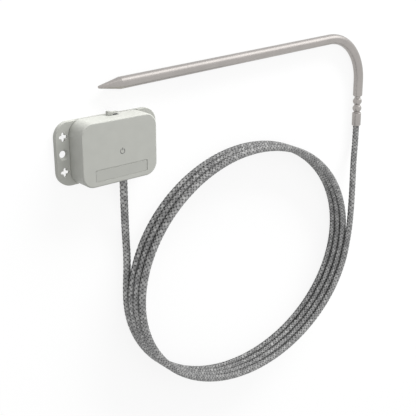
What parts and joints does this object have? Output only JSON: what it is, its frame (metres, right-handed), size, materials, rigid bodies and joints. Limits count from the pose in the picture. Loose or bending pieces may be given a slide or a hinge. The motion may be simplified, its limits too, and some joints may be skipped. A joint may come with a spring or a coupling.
{
  "type": "wireless temperature sensor",
  "caption": "Flat sensor box with screw flanges, a coiled braided steel cable and a bent, pointed steel probe that reports temperature by radio.",
  "frame": {"origin": "centre of the rear plate's back face, on the surface that the part lies on", "axes": "+X along the plate from one flange to the other, +Y from the cable's exit to the latch, +Z out of the front face"},
  "size_m": [0.2404, 0.2158, 0.0173],
  "materials": {
    "case_plastic": "fine satin grain",
    "plate_plastic": "fine satin grain",
    "seal_rubber": "matt",
    "board_laminate": "lacquered",
    "screw_steel": "zinc plated",
    "holder_plastic": "moulded",
    "contact_metal": "nickel plated",
    "cell_steel": "polished",
    "grommet_rubber": "matt",
    "ferrule_brass": "plain",
    "wire_insulation": "smooth",
    "terminal_plastic": "moulded",
    "electrode_copper": "gold flash",
    "led_lens": "clear resin",
    "shield_metal": "tin plated",
    "antenna_ceramic": "fired",
    "chip_plastic": "moulded",
    "capacitor_ceramic": "fired",
    "cable_braid": "woven fine wire",
    "probe_steel": "satin, fine lengthwise grain",
    "insert_rubber": "matt",
    "element_ceramic": "glazed",
    "potting_resin": "cured"
  },
  "bodies": {
    "root": {"front_cover": "case_plastic", "rear_plate": "plate_plastic", "cover_seal": "seal_rubber", "circuit_board": "board_laminate", "board_screws": "screw_steel", "battery_holder": "holder_plastic", "cell_base_contact": "contact_metal", "cell_clip": "contact_metal", "coin_cell": "cell_steel", "cable_grommet": "grommet_rubber", "cable_ferrule": "ferrule_brass", "lead_wires": "wire_insulation", "cable_terminal": "terminal_plastic", "terminal_screws": "screw_steel", "touch_electrode": "electrode_copper", "status_led": "led_lens", "radio_module": "board_laminate", "radio_shield": "shield_metal", "chip_antenna": "antenna_ceramic", "converter_chip": "chip_plastic", "clock_crystal": "shield_metal", "chip_capacitors": "capacitor_ceramic", "cable_lead": "cable_braid", "cable_coil": "cable_braid", "cable_tail": "cable_braid", "probe_sheath": "probe_steel", "crimp_insert": "insert_rubber", "sensing_element": "element_ceramic", "sensor_wires": "wire_insulation", "tip_potting": "potting_resin"}
  },
  "joints": []
}
